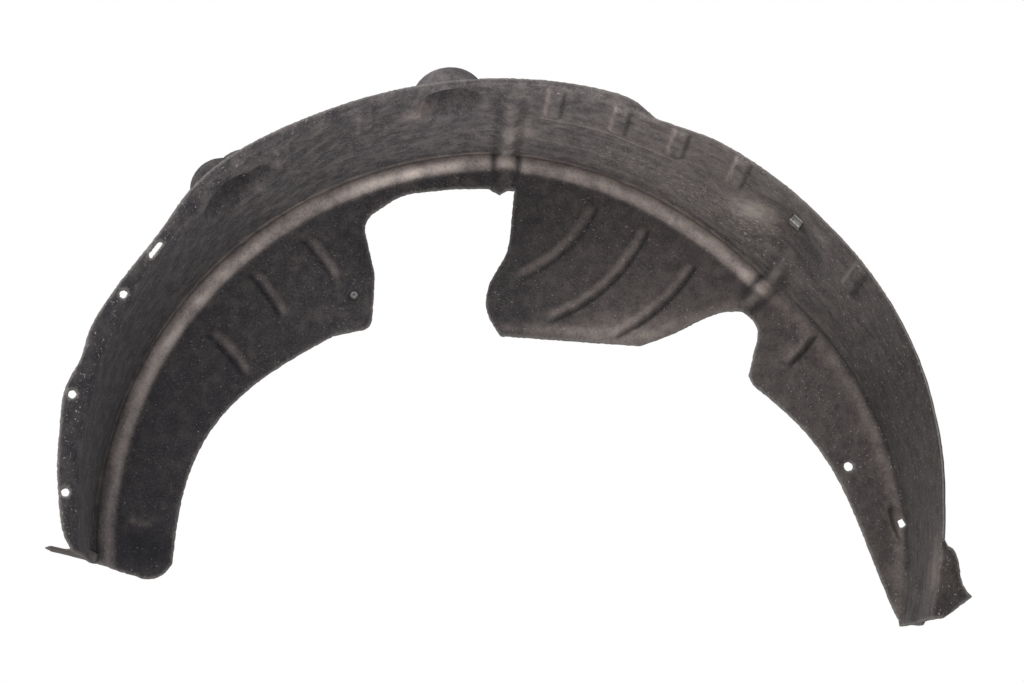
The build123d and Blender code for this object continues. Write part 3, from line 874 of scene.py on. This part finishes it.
def node(tree, kind, at=None, **settings):
    """A shader node with its settings; links are (node, socket) pairs in `at`."""
    made = tree.nodes.new(kind)
    for key, value in settings.items():
        setattr(made, key, value)
    for key, value in (at or {}).items():
        if isinstance(value, bpy.types.NodeSocket):
            tree.links.new(value, made.inputs[key])
        else:
            made.inputs[key].default_value = value
    return made


def noise(tree, coords, scale, detail=2.0, rough=0.5, stretch=None, turn=(0, 0, 0)):
    if stretch:
        coords = node(tree, "ShaderNodeMapping", {"Vector": coords, "Scale": stretch,
                                                  "Rotation": turn}).outputs[0]
    made = node(tree, "ShaderNodeTexNoise",
                {"Vector": coords, "Scale": scale, "Detail": detail, "Roughness": rough})
    return made.outputs["Fac"]


def band(tree, value, low, high, out_low=0.0, out_high=1.0):
    """Value spread from low..high to out_low..out_high, held at the ends."""
    return node(tree, "ShaderNodeMapRange",
                {"Value": value, "From Min": low, "From Max": high, "To Min": out_low,
                 "To Max": out_high}).outputs[0]


def math_node(tree, kind, a, b=0.0):
    return node(tree, "ShaderNodeMath", {0: a, 1: b}, operation=kind).outputs[0]


def mix(tree, share, a, b, blend="MIX"):
    made = node(tree, "ShaderNodeMix", data_type="RGBA", blend_type=blend)
    for key, value in ((0, share), (6, a), (7, b)):
        if isinstance(value, bpy.types.NodeSocket):
            tree.links.new(value, made.inputs[key])
        else:
            made.inputs[key].default_value = value if key == 0 else (*value, 1)
    return made.outputs[2]


def attribute(tree, name):
    return node(tree, "ShaderNodeAttribute", attribute_name=name).outputs["Fac"]


def felt_material():
    """Pressed needle felt: short fibres, specks, streaks along the band, dust with painted
    highlights, and dark patches with painted shade.
    """
    mat, tree = new_material("needle_felt")
    place_at = node(tree, "ShaderNodeTexCoord").outputs["Object"]
    uv = node(tree, "ShaderNodeUVMap", uv_map="map").outputs[0]
    dust_and_highlight, dark_and_shade = attribute(tree, "dust_and_highlight"), attribute(tree, "dark_and_shade")
    trim, back = attribute(tree, "trim"), attribute(tree, "back")

    rear, wall, speckled = (attribute(tree, key) for key in ("rear", "wall", "speckled"))
    cloud = noise(tree, place_at, 11.0, 4, 0.62)
    patch = noise(tree, uv, 1.0, 3, 0.6, (16, 42, 1))
    mottle = noise(tree, place_at, 70.0, 3, 0.65)
    grain = noise(tree, place_at, 480.0, 3, 0.75)
    fibre = noise(tree, uv, 1.0, 2, 0.6, (420, 1300, 1), (0, 0, 0.5))
    fibre_across = noise(tree, uv, 1.0, 2, 0.6, (1300, 420, 1), (0, 0, 0.3))
    streak = noise(tree, uv, 1.0, 4, 0.65, (30, 130, 1))
    drag = noise(tree, uv, 1.0, 4, 0.65, (10, 130, 1))
    blotch = noise(tree, uv, 1.0, 5, 0.75, (60, 72, 1))
    fleck = noise(tree, uv, 1.0, 3, 0.7, (170, 420, 1), (0, 0, 0.35))
    speck = noise(tree, place_at, 520.0, 1, 0.5)

    warm = mix(tree, rear, (0.059, 0.053, 0.058), (0.079, 0.066, 0.067))
    base = mix(tree, band(tree, cloud, 0.3, 0.7), mix(tree, 0.72, (0.0, 0.0, 0.0), warm), warm)
    base = mix(tree, band(tree, patch, 0.35, 0.62, 0.0, 0.4), base, (0.04, 0.038, 0.043))
    base = mix(tree, band(tree, grain, 0.44, 0.64, 0, 0.42), base, (0.14, 0.125, 0.118))
    base = mix(tree, band(tree, grain, 0.3, 0.42, 0.45, 0), base, (0.02, 0.018, 0.018))
    base = mix(tree, band(tree, mottle, 0.5, 0.64, 0, 0.42), base, (0.13, 0.112, 0.106))
    base = mix(tree, band(tree, mottle, 0.36, 0.46, 0.4, 0), base, (0.03, 0.027, 0.03))
    base = mix(tree, band(tree, fibre, 0.58, 0.7, 0, 0.35), base, (0.17, 0.155, 0.145))
    base = mix(tree, band(tree, fibre_across, 0.3, 0.42, 0.35, 0), base, (0.02, 0.018, 0.018))
    on_band = math_node(tree, "SUBTRACT", 1.0, wall)
    streaky = math_node(tree, "MULTIPLY", on_band, band(tree, streak, 0.52, 0.66, 0, 0.26))
    base = mix(tree, streaky, base, (0.135, 0.12, 0.116))
    base = mix(tree, math_node(tree, "MULTIPLY", on_band, band(tree, blotch, 0.5, 0.64, 0, 0.6)),
               base, (0.14, 0.122, 0.118))
    gaps = math_node(tree, "MULTIPLY", on_band, band(tree, blotch, 0.34, 0.46, 0.5, 0))
    base = mix(tree, gaps, base, (0.026, 0.024, 0.027))
    dragged = math_node(tree, "MULTIPLY", on_band, rear)
    base = mix(tree, math_node(tree, "MULTIPLY", dragged, band(tree, drag, 0.5, 0.64, 0, 0.3)),
               base, (0.15, 0.135, 0.128))
    base = mix(tree, math_node(tree, "MULTIPLY", dragged, band(tree, drag, 0.36, 0.48, 0.32, 0)),
               base, (0.02, 0.018, 0.019))
    # Pale brown where the mask holds dust and painted highlights
    dust_and_highlight_share = math_node(tree, "MULTIPLY", dust_and_highlight, band(tree, mottle, 0.32, 0.56, 0.6, 1.0))
    dust_and_highlight_share = math_node(tree, "MULTIPLY", dust_and_highlight_share, band(tree, grain, 0.32, 0.5, 0.6, 1.0))
    base = mix(tree, dust_and_highlight_share, base, (0.42, 0.352, 0.32))
    # Brightness factor, on the band partly painted shade
    base = mix(tree, 1.0, base, attribute(tree, "tone"), "MULTIPLY")
    # Darker where the mask holds dark patches and painted shade
    base = mix(tree, math_node(tree, "MULTIPLY", dark_and_shade, 0.78), base, (0.014, 0.014, 0.018))
    often = math_node(tree, "ADD", math_node(tree, "MULTIPLY", on_band, 0.4),
                      math_node(tree, "MULTIPLY", speckled, 0.6))
    low = band(tree, often, 0, 1, 0.71, 0.56)
    white = math_node(tree, "MULTIPLY", math_node(tree, "SUBTRACT", fleck, low), 22.0)
    white = node(tree, "ShaderNodeClamp", {"Value": white}).outputs[0]
    base = mix(tree, math_node(tree, "MULTIPLY", white, 0.62), base, (0.44, 0.4, 0.36))
    base = mix(tree, band(tree, speck, 0.7, 0.76, 0, 0.55), base, (0.4, 0.37, 0.34))
    base = mix(tree, math_node(tree, "MULTIPLY", trim, band(tree, grain, 0.3, 0.6, 0.35, 0.8)),
               base, (0.19, 0.175, 0.165))
    base = mix(tree, math_node(tree, "MULTIPLY", back, 0.5), base, (0.03, 0.028, 0.027))

    height = math_node(tree, "ADD", math_node(tree, "MULTIPLY", grain, 0.5),
                       math_node(tree, "MULTIPLY", fibre, 0.3))
    height = math_node(tree, "ADD", height, math_node(tree, "MULTIPLY", mottle, 1.1))
    height = math_node(tree, "ADD", height, math_node(tree, "MULTIPLY", patch, 2.2))
    bump = node(tree, "ShaderNodeBump", {"Height": height, "Strength": 0.6, "Distance": 0.0014})
    shader = node(tree, "ShaderNodeBsdfPrincipled", {
        "Base Color": base, "Normal": bump.outputs[0], "Roughness": 0.97,
        "Specular IOR Level": 0.08, "Sheen Weight": 0.03, "Sheen Roughness": 0.6})
    node(tree, "ShaderNodeOutputMaterial", {"Surface": shader.outputs[0]})
    return mat


def pin_material():
    """Dusty grey moulded plastic."""
    mat, tree = new_material("pin_plastic_grey")
    places = node(tree, "ShaderNodeTexCoord")
    dirt = noise(tree, places.outputs["Object"], 500.0, 3, 0.6)
    centred = node(tree, "ShaderNodeVectorMath", {0: places.outputs["Generated"], 1: (0.5, 0, 0.5)},
                   operation="SUBTRACT").outputs[0]
    flat = node(tree, "ShaderNodeVectorMath", {0: centred, 1: (11.2, 0, 11.2)},
                operation="MULTIPLY").outputs[0]
    out = node(tree, "ShaderNodeVectorMath", {0: flat}, operation="LENGTH").outputs["Value"]
    colour = mix(tree, band(tree, dirt, 0.4, 0.65), (0.17, 0.165, 0.16), (0.3, 0.29, 0.28))
    colour = mix(tree, band(tree, out, 3.3, 3.7), colour, (0.016, 0.015, 0.015))
    colour = mix(tree, band(tree, out, 1.0, 0.7), colour, (0.012, 0.012, 0.012))
    bump = node(tree, "ShaderNodeBump", {"Height": dirt, "Strength": 0.3, "Distance": 0.0003})
    shader = node(tree, "ShaderNodeBsdfPrincipled", {
        "Base Color": colour, "Normal": bump.outputs[0], "Roughness": 0.55})
    node(tree, "ShaderNodeOutputMaterial", {"Surface": shader.outputs[0]})
    return mat


def clip_material():
    """Dull spring steel with fine brushing and some tarnish."""
    mat, tree = new_material("clip_spring_steel")
    place_at = node(tree, "ShaderNodeTexCoord").outputs["Object"]
    brush = noise(tree, place_at, 1.0, 2, 0.6, (2600, 260, 260))
    stain = noise(tree, place_at, 300.0, 3, 0.6)
    colour = mix(tree, band(tree, stain, 0.45, 0.7), (0.5, 0.49, 0.47), (0.28, 0.26, 0.24))
    rough = band(tree, brush, 0.3, 0.7, 0.32, 0.55)
    bump = node(tree, "ShaderNodeBump", {"Height": brush, "Strength": 0.2, "Distance": 0.0001})
    shader = node(tree, "ShaderNodeBsdfPrincipled", {
        "Base Color": colour, "Normal": bump.outputs[0], "Roughness": rough, "Metallic": 0.85})
    node(tree, "ShaderNodeOutputMaterial", {"Surface": shader.outputs[0]})
    return mat


def floor_material():
    """Matt off-white floor."""
    mat, tree = new_material("studio_floor")
    place_at = node(tree, "ShaderNodeTexCoord").outputs["Object"]
    tone = noise(tree, place_at, 3.0, 2, 0.5)
    colour = mix(tree, tone, (0.8, 0.8, 0.79), (0.84, 0.84, 0.83))
    shader = node(tree, "ShaderNodeBsdfPrincipled", {"Base Color": colour, "Roughness": 0.9})
    node(tree, "ShaderNodeOutputMaterial", {"Surface": shader.outputs[0]})
    return mat


# Studio

AIM = (-0.35, -0.08, 0.1)
LAMPS = [("key", (-1.9, -1.5, 1.6), 1.0, 60.0), ("fill", (0.2, -2.6, -0.3), 1.8, 26.0)]
CAMERA_AT = (-0.43557, -1.8893, -0.49835)
CAMERA_TURN = (0.318255595, 0.0549626754, 0.00393022312)    # pitch, yaw, roll
FOCAL_PIXELS = 2000       # for a picture that is 1024 wide


def studio():
    """Floor, white surroundings, soft lamps and the camera at the photograph's angle."""
    bpy.ops.mesh.primitive_plane_add(size=30, location=(-0.35, 0, -0.56))
    floor = bpy.context.object
    floor.name = "studio_floor"
    floor.data.materials.append(floor_material())

    world = bpy.data.worlds.new("studio")
    bpy.context.scene.world = world
    world.use_nodes = True
    tree = world.node_tree
    tree.nodes.clear()
    path = node(tree, "ShaderNodeLightPath")
    seen = math_node(tree, "MAXIMUM", path.outputs["Is Camera Ray"], path.outputs["Is Glossy Ray"])
    seen = math_node(tree, "MAXIMUM", seen, path.outputs["Is Transmission Ray"])
    light = node(tree, "ShaderNodeBackground", {"Color": (0.96, 0.98, 1, 1), "Strength": 0.55})
    white = node(tree, "ShaderNodeBackground", {"Color": (1, 1, 1, 1), "Strength": 1.0})
    both = node(tree, "ShaderNodeMixShader", {0: seen, 1: light.outputs[0], 2: white.outputs[0]})
    node(tree, "ShaderNodeOutputWorld", {"Surface": both.outputs[0]})

    target = Vector(AIM)
    for name, spot_at, size, power in LAMPS:
        lamp = bpy.data.lights.new(name, "AREA")
        lamp.size, lamp.energy = size, power
        obj = bpy.data.objects.new(name, lamp)
        obj.location = spot_at
        obj.rotation_euler = (target - Vector(spot_at)).to_track_quat("-Z", "Y").to_euler()
        bpy.context.scene.collection.objects.link(obj)

    pitch, yaw, roll = CAMERA_TURN
    ahead = Vector((math.sin(yaw) * math.cos(pitch), math.cos(yaw) * math.cos(pitch),
                    math.sin(pitch)))
    right = ahead.cross(Vector((0, 0, 1))).normalized()
    up = right.cross(ahead)
    right, up = (math.cos(roll) * right - math.sin(roll) * up,
                 math.sin(roll) * right + math.cos(roll) * up)
    data = bpy.data.cameras.new("camera")
    data.lens, data.sensor_width = 36.0 * FOCAL_PIXELS / 1024, 36.0
    camera = bpy.data.objects.new("camera", data)
    turn = Matrix((right, up, -ahead)).transposed().to_4x4()
    camera.matrix_world = Matrix.Translation(CAMERA_AT) @ turn
    bpy.context.scene.collection.objects.link(camera)
    bpy.context.scene.camera = camera
    bpy.context.scene.view_settings.view_transform = "Standard"


def dress(name, material):
    """Give a CAD node its material in every slot."""
    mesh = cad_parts[name].data
    mesh.materials.clear()
    mesh.materials.append(material)


liner = build_liner()
liner.data.materials.append(felt_material())
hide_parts("liner")
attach(liner, "root")
dress("push_pin", pin_material())
dress("sheet_clip", clip_material())
studio()
